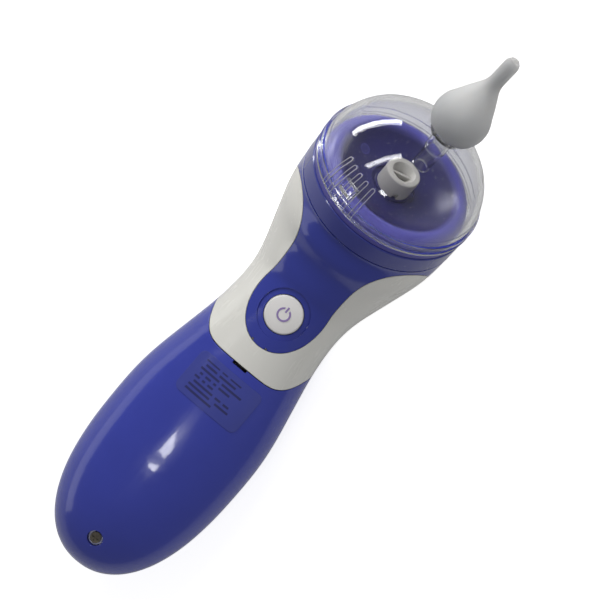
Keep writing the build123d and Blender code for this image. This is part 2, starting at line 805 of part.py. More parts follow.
def dome_lines(inset):
    """Dome's meridian from its widest circle up to the pole: a side arc and a top arc that meet smoothly."""
    side = dome_side_radius
    offset = dome_radius - side
    top = (offset ** 2 + dome_height ** 2 - side ** 2) / (2 * (dome_height - side))
    top_centre = dome_base + dome_height - top
    join = atan2(dome_base - top_centre, offset)
    side -= inset
    top -= inset
    half = join / 2
    high = pi / 2 - (pi / 2 - join) / 2
    meet = (top * cos(join), top_centre + top * sin(join))
    return [
        ThreePointArc((offset + side, dome_base), (offset + side * cos(half), dome_base + side * sin(half)), meet),
        ThreePointArc(meet, (top * cos(high), top_centre + top * sin(high)), (0, top_centre + top)),
    ]


def dome_cover():
    low = gasket_thickness + 0.12
    outer_top = dome_base + dome_height
    inner_r = dome_radius - dome_wall
    shell = lathe(
        *dome_lines(0),
        Line((0, outer_top), (0, outer_top - dome_wall)),
        *dome_lines(dome_wall),
        Line((inner_r, dome_base), (inner_r, low)),
        Line((inner_r, low), (dome_radius, low)),
        Line((dome_radius, low), (dome_radius, dome_base)),
    )
    rim = lathe(Polyline(
        (inner_r + 0.6, low), (rim_radius - 0.2, low), (rim_radius, low + 0.2), (rim_radius, low + 1.0),
        (rim_radius - 0.5, low + 1.3), (rim_radius - 0.5, rim_height - 1.3), (rim_radius - 0.1, rim_height - 1.0),
        (rim_radius - 0.1, rim_height - 0.2), (rim_radius - 0.3, rim_height), (inner_r + 0.6, rim_height), close=True))
    shell = shell + rim
    band = lathe(
        *dome_lines(-rib_proud),
        Line((0, outer_top + rib_proud), (0, outer_top - 0.5)),
        *dome_lines(0.5),
        Line((dome_radius - 0.5, dome_base), (dome_radius + rib_proud, dome_base)),
    )
    for index in range(rib_count):
        angle = 180 + rib_pitch * (index - (rib_count - 1) / 2)
        tall = rib_top - rim_height + 1.0
        bar = Rectangle(rib_width, tall) + Pos(0, tall / 2) * Circle(rib_width / 2)
        middle = (rib_top + rim_height - 1.0) / 2
        shell += band & (Rotation(0, 0, angle) * Pos(10, 0, middle) * extrude(Plane.YZ * bar, 30))
    catch = Rotation(0, 0, 180) * Pos(24.4, 0, 5.8) * Box(3.2, 5.0, 3.6)
    filled = lathe(
        *dome_lines(0.6),
        Line((0, outer_top - 0.6), (0, dome_base)),
        Line((0, dome_base), (dome_radius - 0.6, dome_base)),
    )
    shell += catch & filled
    nose = nozzle * (cylinder_z(nozzle_radius, -3.0, nozzle_length) + cone_z(5.4, 4.4, -3.4, -0.15))
    drop = cylinder_z(tube_radius, tube_end, tip_seat - 1.6, nozzle_offset)
    drop += cylinder_z(nozzle_radius, 14.5, tip_seat - 1.6, nozzle_offset)
    solid = shell + nose + drop
    solid -= nozzle * cylinder_z(nozzle_bore, -2.6, 30)
    solid -= cylinder_z(nozzle_bore, 0, tip_seat - 2.2, nozzle_offset)
    return head * (turned * solid)


def silicone_tip():
    """Pear-shaped soft tip: hollow bulb with a socket for the nozzle, drawn out into a narrow stem."""
    base_r = sqrt(bulb_radius ** 2 - bulb_centre ** 2)
    shoulder_z = bulb_centre + 4.2
    shoulder_r = sqrt(bulb_radius ** 2 - 4.2 ** 2)
    socket = nozzle_radius + running_clearance
    neck = Spline((shoulder_r, shoulder_z), (5.2, 15.0), (3.6, 18.2), (stem_radius, 23.0),
                  tangents=[(-4.2, shoulder_r), (0, 1)])
    solid = lathe(
        Line((socket, 0), (base_r, 0)),
        ThreePointArc((base_r, 0), (bulb_radius, bulb_centre), (shoulder_r, shoulder_z)),
        neck,
        Line((stem_radius, 23.0), (stem_radius, tip_length - 2.2)),
        ThreePointArc((stem_radius, tip_length - 2.2), (stem_radius - 0.5, tip_length - 0.6), (tip_bore + 0.2, tip_length)),
        Line((tip_bore + 0.2, tip_length), (tip_bore, tip_length - 0.3)),
        Line((tip_bore, tip_length - 0.3), (tip_bore, nozzle_length + 3.0)),
        Line((tip_bore, nozzle_length + 3.0), (socket, nozzle_length + 0.4)),
        Line((socket, nozzle_length + 0.4), (socket, 0)),
    )
    hollow = lathe(Polyline(
        (socket + tip_wall, -1), (base_r - tip_wall, -1), (bulb_radius - tip_wall, bulb_centre),
        (shoulder_r - tip_wall - 0.4, shoulder_z - 0.6), (socket + tip_wall, nozzle_length - 0.6), close=True))
    return head * (turned * (nozzle * (solid - hollow)))


skin_outer = body(0)
casing_skin = skin_outer - body(wall)

nodes = {
    "front_body_shell": front_body_shell,
    "rear_body_shell": rear_body_shell,
    "rear_handle_shell": rear_handle_shell,
    "front_panel": front_panel,
    "collar_ring": collar_ring,
    "battery_cover": battery_cover,
    "rating_label": rating_label,
    "battery_cover_screw": cover_screw,
    "battery_tray": battery_tray,
    "battery_left": lambda: battery(1),
    "battery_right": lambda: battery(-1),
    "bridge_contact": bridge_contact,
    "end_contacts": end_contacts,
    "contact_springs": contact_springs,
    "battery_leads": battery_leads,
    "motor_leads": motor_leads,
    "power_button": power_button,
    "power_symbol": power_symbol,
    "switch_plunger": switch_plunger,
    "tact_switch": tact_switch,
    "circuit_board": circuit_board,
    "board_parts": board_parts,
    "motor_cradle": motor_cradle,
    "cradle_screws": cradle_screws,
    "motor_can": motor_can,
    "motor_bell": motor_bell,
    "motor_rotor": motor_rotor,
    "motor_shaft": motor_shaft,
    "crank_hub": crank_hub,
    "wobble_plate": wobble_plate,
    "pump_housing": pump_housing,
    "diaphragm": diaphragm,
    "valve_plate": valve_plate,
    "pump_cap": pump_cap,
    "suction_hose": suction_hose,
    "suction_deck": suction_deck,
    "deck_screws": deck_screws,
    "collection_dish": collection_dish,
    "spigot_seal": spigot_seal,
    "rim_gasket": rim_gasket,
    "air_inlet_turret": air_inlet_turret,
    "dome_cover": dome_cover,
    "silicone_tip": silicone_tip,
}

solids = {name: make() for name, make in nodes.items()}
low_x = skin_outer.bounding_box().min.X
high_x = solids["silicone_tip"].bounding_box().max.X
to_middle = Pos(-(low_x + high_x) / 2, 0, 0)
os.makedirs("parts", exist_ok=True)
for name, solid in solids.items():
    export_step(to_middle * solid, f"parts/{name}.step")
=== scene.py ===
import math

import bpy
import numpy as np
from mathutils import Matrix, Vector


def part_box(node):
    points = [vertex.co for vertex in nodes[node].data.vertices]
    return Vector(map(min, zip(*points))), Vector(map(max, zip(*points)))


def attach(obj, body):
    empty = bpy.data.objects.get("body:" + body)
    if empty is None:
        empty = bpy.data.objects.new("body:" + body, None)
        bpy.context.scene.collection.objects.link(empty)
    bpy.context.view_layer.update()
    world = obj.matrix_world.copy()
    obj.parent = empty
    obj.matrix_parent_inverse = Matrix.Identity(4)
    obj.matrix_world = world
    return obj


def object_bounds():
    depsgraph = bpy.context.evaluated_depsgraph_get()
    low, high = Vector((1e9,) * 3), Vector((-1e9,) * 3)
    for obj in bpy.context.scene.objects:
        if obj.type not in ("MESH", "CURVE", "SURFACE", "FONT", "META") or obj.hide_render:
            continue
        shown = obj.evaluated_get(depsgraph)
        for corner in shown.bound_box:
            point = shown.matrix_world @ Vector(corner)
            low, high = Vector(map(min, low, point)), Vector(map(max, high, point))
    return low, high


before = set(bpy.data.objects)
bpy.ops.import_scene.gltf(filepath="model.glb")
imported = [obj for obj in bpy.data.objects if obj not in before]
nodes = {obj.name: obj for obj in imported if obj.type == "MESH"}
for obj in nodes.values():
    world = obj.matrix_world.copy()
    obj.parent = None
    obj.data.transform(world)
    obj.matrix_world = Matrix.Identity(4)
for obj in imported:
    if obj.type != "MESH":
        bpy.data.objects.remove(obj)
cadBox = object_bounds()
print("frame loaded:", len(nodes), "parts")


# Small helpers for node trees

def addNode(tree, kind, **settings):
    node = tree.nodes.new(kind)
    for key, value in settings.items():
        setattr(node, key, value)
    return node


def join(tree, source, target):
    tree.links.new(source, target)


# One Math node; numbers are set on its sockets, sockets are linked.
def mathNode(tree, operation, first, second=None, clamp=False):
    node = addNode(tree, "ShaderNodeMath", operation=operation, use_clamp=clamp)
    for place, value in enumerate((first, second)):
        if value is None:
            continue
        if isinstance(value, (int, float)):
            node.inputs[place].default_value = value
        else:
            join(tree, value, node.inputs[place])
    return node.outputs[0]


def noiseNode(tree, coordinate, scale, detail=2.0, roughness=0.5, distortion=0.0):
    node = addNode(tree, "ShaderNodeTexNoise")
    join(tree, coordinate, node.inputs["Vector"])
    node.inputs["Scale"].default_value = scale
    node.inputs["Detail"].default_value = detail
    node.inputs["Roughness"].default_value = roughness
    node.inputs["Distortion"].default_value = distortion
    return node.outputs["Fac"]


# Map Range from one span to another; ends may be sockets.
def spread(tree, value, low, high, fromLow=0.0, fromHigh=1.0):
    node = addNode(tree, "ShaderNodeMapRange")
    join(tree, value, node.inputs["Value"])
    ends = {"From Min": fromLow, "From Max": fromHigh, "To Min": low, "To Max": high}
    for name, end in ends.items():
        if isinstance(end, (int, float)):
            node.inputs[name].default_value = end
        else:
            join(tree, end, node.inputs[name])
    return node.outputs["Result"]


def mixColour(tree, share, first, second, blendType="MIX"):
    node = addNode(tree, "ShaderNodeMix", data_type="RGBA", blend_type=blendType)
    for name, value in (("Factor", share), ("A", first), ("B", second)):
        kind = "VALUE" if name == "Factor" else "RGBA"
        socket = next(s for s in node.inputs if s.name == name and s.type == kind)
        if isinstance(value, (int, float)):
            socket.default_value = value
        elif isinstance(value, tuple):
            socket.default_value = (*value, 1.0)
        else:
            join(tree, value, socket)
    return next(s for s in node.outputs if s.type == "RGBA")


# A shader node group; inputs are (name, kind, start value).
def newGroup(name, inputs, outputs):
    group = bpy.data.node_groups.new(name, "ShaderNodeTree")
    for socketName, kind, start in inputs:
        socket = group.interface.new_socket(name=socketName, in_out="INPUT", socket_type=kind)
        socket.default_value = (*start, 1.0) if kind == "NodeSocketColor" else start
    for socketName, kind in outputs:
        group.interface.new_socket(name=socketName, in_out="OUTPUT", socket_type=kind)
    inside = addNode(group, "NodeGroupInput")
    outside = addNode(group, "NodeGroupOutput")
    return group, inside.outputs, outside.inputs


def objectPlace(tree):
    return addNode(tree, "ShaderNodeTexCoord").outputs["Object"]


# Effects shared by several materials. Scales are noise cells per metre.
effects = {
    "cloudScale": 38.0,
    "speckScale": 900.0,
    "speckStart": 0.70,
    "speckEnd": 0.74,
    "speckGrey": (0.62, 0.61, 0.60),
    "markStretch": (0.12, 1.0, 1.0),
    "markTurn": (0.0, 0.0, 0.35),
    "markScale": 900.0,
    "blotchScale": 70.0,
    "peelScale": 420.0,
    "peelDepth": 0.0002,
    "bevelSamples": 4,
    "spotScale": 500.0,
    "spotWarm": (0.30, 0.26, 0.20),
    "lineScale": 900.0,
    "lineWander": 1.5,
    "lineDepth": 0.00005,
}

# Moulded plastic: cloudy colour drift, hair-fine wiping marks, a faint orange-peel
# and softened edges.
def makeMouldedSkin():
    number, colour = "NodeSocketFloat", "NodeSocketColor"
    group, given, out = newGroup(
        "mouldedSkin",
        [("Colour", colour, (0.5, 0.5, 0.5)), ("Drift", number, 0.06),
         ("Roughness", number, 0.2), ("Smudge", number, 0.08), ("Peel", number, 0.04),
         ("Edge", number, 0.0003), ("Dust", number, 0.0)],
        [("Colour", colour), ("Roughness", number), ("Normal", "NodeSocketVector")])
    place = objectPlace(group)
    cloud = noiseNode(group, place, effects["cloudScale"], 3.0, 0.55)
    darker = mathNode(group, "SUBTRACT", 1.0, given["Drift"])
    lighter = mathNode(group, "ADD", 1.0, given["Drift"])
    shade = spread(group, cloud, darker, lighter, 0.3, 0.7)
    grey = addNode(group, "ShaderNodeCombineColor")
    for channel in ("Red", "Green", "Blue"):
        join(group, shade, grey.inputs[channel])
    drifted = mixColour(group, 1.0, given["Colour"], grey.outputs["Color"], "MULTIPLY")
    specks = noiseNode(group, place, effects["speckScale"], 1.0, 0.4)
    start, end = effects["speckStart"], effects["speckEnd"]
    speckMask = spread(group, specks, 0.0, given["Dust"], start, end)
    dusted = mixColour(group, speckMask, drifted, effects["speckGrey"])
    join(group, dusted, out["Colour"])
    wipe = addNode(group, "ShaderNodeMapping")
    wipe.inputs["Scale"].default_value = effects["markStretch"]
    wipe.inputs["Rotation"].default_value = effects["markTurn"]
    join(group, place, wipe.inputs["Vector"])
    marks = noiseNode(group, wipe.outputs["Vector"], effects["markScale"], 2.0, 0.6)
    blotch = noiseNode(group, place, effects["blotchScale"], 3.0, 0.6, 0.6)
    both = mathNode(group, "MULTIPLY", marks, blotch)
    rise = spread(group, both, 0.0, given["Smudge"], 0.18, 0.42)
    join(group, mathNode(group, "ADD", given["Roughness"], rise), out["Roughness"])
    peel = noiseNode(group, place, effects["peelScale"], 2.0, 0.5)
    bevel = addNode(group, "ShaderNodeBevel", samples=effects["bevelSamples"])
    join(group, given["Edge"], bevel.inputs["Radius"])
    bump = addNode(group, "ShaderNodeBump")
    bump.inputs["Distance"].default_value = effects["peelDepth"]
    join(group, given["Peel"], bump.inputs["Strength"])
    join(group, peel, bump.inputs["Height"])
    join(group, bevel.outputs["Normal"], bump.inputs["Normal"])
    join(group, bump.outputs["Normal"], out["Normal"])
    return group


# Plated steel: fine turning lines, dull spots and a slight warm tint in the same random spots.
def makeTurnedMetal():
    number, colour = "NodeSocketFloat", "NodeSocketColor"
    group, given, out = newGroup(
        "turnedMetal",
        [("Colour", colour, (0.5, 0.5, 0.5)), ("Roughness", number, 0.3), ("Lines", number, 0.2)],
        [("Colour", colour), ("Roughness", number), ("Normal", "NodeSocketVector")])
    place = objectPlace(group)
    spots = noiseNode(group, place, effects["spotScale"], 3.0, 0.6)
    warmth = spread(group, spots, 0.0, 0.6, 0.45, 0.75)
    tinted = mixColour(group, warmth, given["Colour"], effects["spotWarm"])
    join(group, tinted, out["Colour"])
    duller = spread(group, spots, -0.05, 0.12, 0.3, 0.7)
    join(group, mathNode(group, "ADD", given["Roughness"], duller), out["Roughness"])
    wave = addNode(group, "ShaderNodeTexWave", wave_type="RINGS", rings_direction="SPHERICAL")
    wave.inputs["Scale"].default_value = effects["lineScale"]
    wave.inputs["Distortion"].default_value = effects["lineWander"]
    join(group, place, wave.inputs["Vector"])
    bump = addNode(group, "ShaderNodeBump")
    bump.inputs["Distance"].default_value = effects["lineDepth"]
    join(group, given["Lines"], bump.inputs["Strength"])
    join(group, wave.outputs["Fac"], bump.inputs["Height"])
    join(group, bump.outputs["Normal"], out["Normal"])
    return group


mouldedSkin = makeMouldedSkin()
turnedMetal = makeTurnedMetal()


def startMaterial(name):
    material = bpy.data.materials.new(name)
    material.use_nodes = True
    tree = material.node_tree
    shader = next(n for n in tree.nodes if n.type == "BSDF_PRINCIPLED")
    output = next(n for n in tree.nodes if n.type == "OUTPUT_MATERIAL")
    return material, tree, shader, output


def placeGroup(tree, group, values):
    node = addNode(tree, "ShaderNodeGroup", node_tree=group)
    for name, value in values.items():
        node.inputs[name].default_value = (*value, 1.0) if isinstance(value, tuple) else value
    return node


# A moulded plastic: look feeds mouldedSkin, shaderValues are set on the shader,
# tint may rework the colour.
def plastic(name, look, shaderValues=None, tint=None):
    material, tree, shader, _ = startMaterial(name)
    skin = placeGroup(tree, mouldedSkin, look)
    colour = skin.outputs["Colour"]
    if tint:
        colour = tint(tree, colour)
    join(tree, colour, shader.inputs["Base Color"])
    join(tree, skin.outputs["Roughness"], shader.inputs["Roughness"])
    join(tree, skin.outputs["Normal"], shader.inputs["Normal"])
    for socket, value in (shaderValues or {}).items():
        shader.inputs[socket].default_value = value
    return material


# The inputs of mouldedSkin, in order, as one dictionary.
def skinLook(colour, drift, roughness, smudge, peel, edge, dust=0.0):
    return {"Colour": colour, "Drift": drift, "Roughness": roughness, "Smudge": smudge,
            "Peel": peel, "Edge": edge, "Dust": dust}


def metal(name, look):
    material, tree, shader, _ = startMaterial(name)
    turned = placeGroup(tree, turnedMetal, look)
    wiring = {"Colour": "Base Color", "Roughness": "Roughness", "Normal": "Normal"}
    for socket, target in wiring.items():
        join(tree, turned.outputs[socket], shader.inputs[target])
    shader.inputs["Metallic"].default_value = 1.0
    return material


def dress(material, *names):
    for name in names:
        slots = nodes[name].data.materials
        slots.clear()
        slots.append(material)


# Casing

casing = {
    "violet": (0.042, 0.060, 0.43),
    "panelViolet": (0.036, 0.052, 0.36),
    "collarViolet": (0.034, 0.045, 0.29),
    "warmWhite": (0.84, 0.835, 0.79),
    "gloss": {"Coat Weight": 0.5, "Coat Roughness": 0.04, "IOR": 1.5},
}

violetShell = plastic(
    "violetShell", skinLook(casing["violet"], 0.05, 0.16, 0.10, 0.05, 0.0004), casing["gloss"])
violetPanel = plastic(
    "violetPanel", skinLook(casing["panelViolet"], 0.05, 0.14, 0.08, 0.05, 0.0003),
    casing["gloss"])
violetCollar = plastic(
    "violetCollar", skinLook(casing["collarViolet"], 0.05, 0.20, 0.08, 0.05, 0.0004),
    casing["gloss"])
whiteShell = plastic(
    "whiteShell", skinLook(casing["warmWhite"], 0.02, 0.22, 0.08, 0.05, 0.0004),
    casing["gloss"])
dress(violetShell, "battery_cover", "rear_handle_shell")
dress(violetPanel, "front_panel")
dress(violetCollar, "collar_ring")
dress(whiteShell, "front_body_shell", "rear_body_shell")
print("casing dressed")


# Controls and label

controls = {
    "buttonWhite": (0.88, 0.865, 0.85),
    "printLilac": (0.33, 0.24, 0.52),
    "filmTint": (0.050, 0.066, 0.36),
    "print": (0.02, 0.022, 0.10),
    "rowPitch": 0.00150,
    "wordPitch": 0.00105,
    "margin": 0.0018,
    "sideMargin": 0.003,
    "dashHalf": 0.24,
    "rowReach": 0.62,
    "gapShare": 0.22,
    "inkShare": 0.85,
}

buttonWhite = plastic(
    "buttonWhite", skinLook(controls["buttonWhite"], 0.02, 0.32, 0.10, 0.10, 0.0004))
printedMark = plastic(
    "printedMark", skinLook(controls["printLilac"], 0.10, 0.45, 0.05, 0.05, 0.0001))
dress(buttonWhite, "power_button")
dress(printedMark, "power_symbol")


# Rows of blank dashes: each row's length and each dash's gap come from a white noise
# of its number.
def labelRows(tree, colour):
    low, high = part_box("rating_label")
    place = addNode(tree, "ShaderNodeSeparateXYZ")
    join(tree, objectPlace(tree), place.inputs["Vector"])
    down = mathNode(tree, "SUBTRACT", place.outputs["X"], low.x)
    rowPlace = mathNode(tree, "DIVIDE", down, controls["rowPitch"])
    row = mathNode(tree, "FLOOR", rowPlace)
    sideways = mathNode(tree, "SUBTRACT", place.outputs["Y"], low.y)
    word = mathNode(tree, "FLOOR", mathNode(tree, "DIVIDE", sideways, controls["wordPitch"]))
    rowDraw = addNode(tree, "ShaderNodeTexWhiteNoise", noise_dimensions="1D")
    join(tree, row, rowDraw.inputs["W"])
    wordDraw = addNode(tree, "ShaderNodeTexWhiteNoise", noise_dimensions="2D")
    pair = addNode(tree, "ShaderNodeCombineXYZ")
    join(tree, row, pair.inputs["X"])
    join(tree, word, pair.inputs["Y"])
    join(tree, pair.outputs["Vector"], wordDraw.inputs["Vector"])
    fromMiddle = mathNode(tree, "SUBTRACT", mathNode(tree, "FRACT", rowPlace), 0.5)
    inRow = mathNode(tree, "LESS_THAN", mathNode(tree, "ABSOLUTE", fromMiddle), controls["dashHalf"])
    rowEnd = spread(tree, rowDraw.outputs["Value"], 0.0, high.y * controls["rowReach"])
    inside = mathNode(tree, "LESS_THAN", place.outputs["Y"], high.y - controls["sideMargin"])
    reachFrom = mathNode(tree, "MULTIPLY", rowEnd, -1.0)
    reach = mathNode(tree, "GREATER_THAN", place.outputs["Y"], reachFrom)
    dash = mathNode(tree, "GREATER_THAN", wordDraw.outputs["Value"], controls["gapShare"])
    pastStart = mathNode(tree, "GREATER_THAN", place.outputs["X"], low.x + controls["margin"])
    beforeEnd = mathNode(tree, "LESS_THAN", place.outputs["X"], high.x - controls["margin"])
    mask = mathNode(tree, "MULTIPLY", inRow, dash)
    for limit in (inside, reach, pastStart, beforeEnd):
        mask = mathNode(tree, "MULTIPLY", mask, limit)
    ink = mathNode(tree, "MULTIPLY", mask, controls["inkShare"])
    return mixColour(tree, ink, colour, controls["print"])


labelFilm = plastic(
    "labelFilm", skinLook(controls["filmTint"], 0.08, 0.12, 0.12, 0.18, 0.0002),
    {"Coat Weight": 0.8, "Coat Roughness": 0.06}, labelRows)
dress(labelFilm, "rating_label")
# the screws' steel colour is painted dark: painted shade standing in for the dark recesses they sit
# in
dress(metal("shadedScrewSteel", {"Colour": (0.10, 0.09, 0.075), "Roughness": 0.42, "Lines": 0.35}),
      "battery_cover_screw", "cradle_screws", "deck_screws")
print("controls and label dressed")


# Head

head = {
    # the dish's dark violet is painted shade for the inside of the bowl; the lip's violet is the
    # paler one
    "shadedDishViolet": (0.016, 0.014, 0.095),
    "lipViolet": (0.085, 0.080, 0.36),
    "middle": (0.054090, 0.0, 0.035),
    "axis": (0.688355, 0.0, 0.725374),
    "lipFrom": 0.0186,
    "lipTo": 0.0208,
    "ejector": (0.0560, 0.0137, 0.0319),
    "ejectorRadius": 0.0016,
    "ejectorLine": 0.00016,
    "sealDark": (0.015, 0.030, 0.42),
    "inletWhite": (0.42, 0.405, 0.38),
    "siliconeGrey": (0.82, 0.82, 0.815),
    "clear": (0.95, 0.955, 0.965),
    # painted shade for the clear dome's edges: its grey, and how it spreads with the glancing angle
    "paintedEdgeShadeGrey": (0.30, 0.30, 0.32),
    "paintedEdgeShadeBlend": 0.32,
    "paintedEdgeShadePower": 1.6,
    "paintedEdgeShadeShare": 0.75,
    "scatterDepth": 0.014,
}


# The bowl's dark colour is painted shade, standing in for the shade inside the bowl; the lip is
# paler than the bowl, by distance from the head's axis: the length of the offset crossed with the
# axis. One round ejector mark lies on the floor of the bowl.
def dishTint(tree, colour):
    place = objectPlace(tree)
    offset = addNode(tree, "ShaderNodeVectorMath", operation="SUBTRACT")
    join(tree, place, offset.inputs[0])
    offset.inputs[1].default_value = head["middle"]
    swept = addNode(tree, "ShaderNodeVectorMath", operation="CROSS_PRODUCT")
    join(tree, offset.outputs["Vector"], swept.inputs[0])
    swept.inputs[1].default_value = head["axis"]
    length = addNode(tree, "ShaderNodeVectorMath", operation="LENGTH")
    join(tree, swept.outputs["Vector"], length.inputs[0])
    lip = spread(tree, length.outputs["Value"], 0.0, 1.0, head["lipFrom"], head["lipTo"])
    paler = mixColour(tree, lip, colour, head["lipViolet"])
    away = addNode(tree, "ShaderNodeVectorMath", operation="DISTANCE")
    join(tree, place, away.inputs[0])
    away.inputs[1].default_value = head["ejector"]
    reach = away.outputs["Value"]
    radius = head["ejectorRadius"]
    fromRing = mathNode(tree, "ABSOLUTE", mathNode(tree, "SUBTRACT", reach, radius))
    onRing = mathNode(tree, "LESS_THAN", fromRing, head["ejectorLine"])
    ring = mathNode(tree, "MULTIPLY", onRing, 0.55)
    disc = mathNode(tree, "MULTIPLY", mathNode(tree, "LESS_THAN", reach, radius), 0.22)
    return mixColour(tree, mathNode(tree, "MAXIMUM", ring, disc), paler, head["lipViolet"])


# painted shade: the whole bowl is coloured darker than the violet plastic
shadedDishViolet = plastic(
    "shadedDishViolet", skinLook(head["shadedDishViolet"], 0.06, 0.30, 0.08, 0.05, 0.0003, 0.12),
    {"IOR": 1.45}, dishTint)
inletWhite = plastic(
    "inletWhite", skinLook(head["inletWhite"], 0.02, 0.30, 0.06, 0.05, 0.0003))
sealRubber = plastic(
    "sealRubber", skinLook(head["sealDark"], 0.08, 0.50, 0.10, 0.20, 0.0001))
dress(shadedDishViolet, "collection_dish")
dress(inletWhite, "air_inlet_turret")
dress(sealRubber, "rim_gasket", "spigot_seal", "diaphragm")


# Clear moulded plastic: plain transmission, painted shade on the edges where the surface is seen at
# a glancing angle, standing in for reflected dark surroundings, and lamps shine through it.
def clearPlastic(name, colour, roughness, ior):
    material, tree, shader, output = startMaterial(name)
    look = skinLook(colour, 0.01, roughness, 0.05, 0.02, 0.0003)
    skin = placeGroup(tree, mouldedSkin, look)
    # painted shade: the base colour turns grey where the surface is seen edge-on, standing in for
    # dark surroundings reflected there
    rim = addNode(tree, "ShaderNodeLayerWeight")
    rim.inputs["Blend"].default_value = head["paintedEdgeShadeBlend"]
    curved = mathNode(tree, "POWER", rim.outputs["Facing"], head["paintedEdgeShadePower"])
    edge = mathNode(tree, "MULTIPLY", curved, head["paintedEdgeShadeShare"])
    tinted = mixColour(tree, edge, skin.outputs["Colour"], head["paintedEdgeShadeGrey"])
    join(tree, tinted, shader.inputs["Base Color"])
    join(tree, skin.outputs["Roughness"], shader.inputs["Roughness"])
    join(tree, skin.outputs["Normal"], shader.inputs["Normal"])
    shader.inputs["Transmission Weight"].default_value = 1.0
    shader.inputs["IOR"].default_value = ior
    through = addNode(tree, "ShaderNodeBsdfTransparent")
    through.inputs["Color"].default_value = (*colour, 1.0)
    path = addNode(tree, "ShaderNodeLightPath")
    choice = addNode(tree, "ShaderNodeMixShader")
    join(tree, path.outputs["Is Shadow Ray"], choice.inputs[0])
    join(tree, shader.outputs["BSDF"], choice.inputs[1])
    join(tree, through.outputs["BSDF"], choice.inputs[2])
    join(tree, choice.outputs["Shader"], output.inputs["Surface"])
    return material


dress(clearPlastic("clearDome", head["clear"], 0.015, 1.5), "dome_cover")


# Frosted silicone: soft scattering, a milky cloudiness and a fine sandblasted grain.
def makeSilicone():
    material, tree, shader, _ = startMaterial("frostedSilicone")
    look = skinLook(head["siliconeGrey"], 0.03, 0.42, 0.14, 0.16, 0.0003)
    skin = placeGroup(tree, mouldedSkin, look)
    join(tree, skin.outputs["Colour"], shader.inputs["Base Color"])
    join(tree, skin.outputs["Roughness"], shader.inputs["Roughness"])
    join(tree, skin.outputs["Normal"], shader.inputs["Normal"])
    shader.inputs["Subsurface Weight"].default_value = 1.0
    shader.inputs["Subsurface Scale"].default_value = head["scatterDepth"]
    shader.inputs["Subsurface Radius"].default_value = (1.0, 0.95, 0.9)
    shader.inputs["Transmission Weight"].default_value = 0.15
    shader.inputs["IOR"].default_value = 1.41
    return material


dress(makeSilicone(), "silicone_tip")
print("head dressed")


# Grip beads on the dome

gripBeads = {
    "origin": (0.054090, 0.0, 0.035),  # middle of the rim plane
    "tilt": 46.5,  # head axis above the handle, degrees
    "turn": 158.0,  # middle bead, about the head axis
    "pitch": 7.0,
    "count": 5,
    "foot": 0.0009,
    "top": 0.0125,
    "halfWidth": 0.00062,
    "thickness": 0.00012,
    "rimTop": 0.0044,
    "blendSpan": 0.0006,
    "rimRadius": 0.02745,
    "sideCentre": (0.0076, 0.0022),  # centre of the dome's side arc: radius, height
    "sideRadius": 0.01953,
    "steps": 90,
    "sides": 8,
    "colour": (0.80, 0.80, 0.83),
}


def headFrame(look):
    tilt = math.radians(look["tilt"])
    across = np.array((math.sin(tilt), 0.0, -math.cos(tilt)))
    along = np.array((math.cos(tilt), 0.0, math.sin(tilt)))
    return across, np.array((0.0, 1.0, 0.0)), along


# Up one side, half a circle over the top and down the other side, laid on the dome.
# The radius at a height is the rim's below its top edge and the side arc's above it.
# Sideways distance over radius gives the angle.
def beadPath(look, index, steps):
    legs = look["top"] - look["foot"]
    arc = math.pi * look["halfWidth"]
    distance = np.linspace(0.0, 2 * legs + arc, steps)
    swing = np.clip((distance - legs) / look["halfWidth"], 0.0, math.pi)
    side = -look["halfWidth"] * np.cos(swing)
    rise = look["foot"] + np.minimum(distance, legs) - np.maximum(distance - legs - arc, 0.0)
    rise = rise + look["halfWidth"] * np.sin(swing)
    centre, base = look["sideCentre"]
    dome = centre + np.sqrt(look["sideRadius"] ** 2 - (rise - base) ** 2)
    blend = np.clip((rise - look["rimTop"]) / look["blendSpan"], 0.0, 1.0)
    radius = look["rimRadius"] * (1 - blend) + dome * blend
    offset = index - (look["count"] - 1) / 2
    turn = math.radians(look["turn"] + look["pitch"] * offset) + side / radius
    across, sideways, along = headFrame(look)
    return (np.array(look["origin"]) + np.outer(radius * np.cos(turn), across)
            + np.outer(radius * np.sin(turn), sideways) + np.outer(rise, along))


# A circle carried along a path: each ring lies across the path, and both ends draw in to a point.
def carriedTube(path, thickness, sides):
    forward = np.gradient(path, axis=0)
    forward /= np.linalg.norm(forward, axis=1, keepdims=True)
    outward = path - path.mean(0) * 0.2
    outward -= (outward * forward).sum(1, keepdims=True) * forward
    outward /= np.linalg.norm(outward, axis=1, keepdims=True)
    third = np.cross(forward, outward)
    angle = np.linspace(0.0, 2 * math.pi, sides, endpoint=False)
    end = np.minimum(np.arange(len(path)), np.arange(len(path))[::-1])
    size = thickness * np.sqrt(1 - (1 - np.clip(end / 2.0, 0.02, 1.0)) ** 2)
    ring = (np.cos(angle)[None, :, None] * outward[:, None, :]
            + np.sin(angle)[None, :, None] * third[:, None, :])
    points = path[:, None, :] + size[:, None, None] * ring
    row = np.arange(len(path) - 1)[:, None] * sides
    column = np.arange(sides)[None, :]
    following = (column + 1) % sides
    corners = [row + column, row + following, row + sides + following, row + sides + column]
    quads = np.stack(corners, -1)
    last = (len(path) - 1) * sides
    caps = [list(range(sides))[::-1], list(range(last, last + sides))]
    return points.reshape(-1, 3), quads.reshape(-1, 4), caps


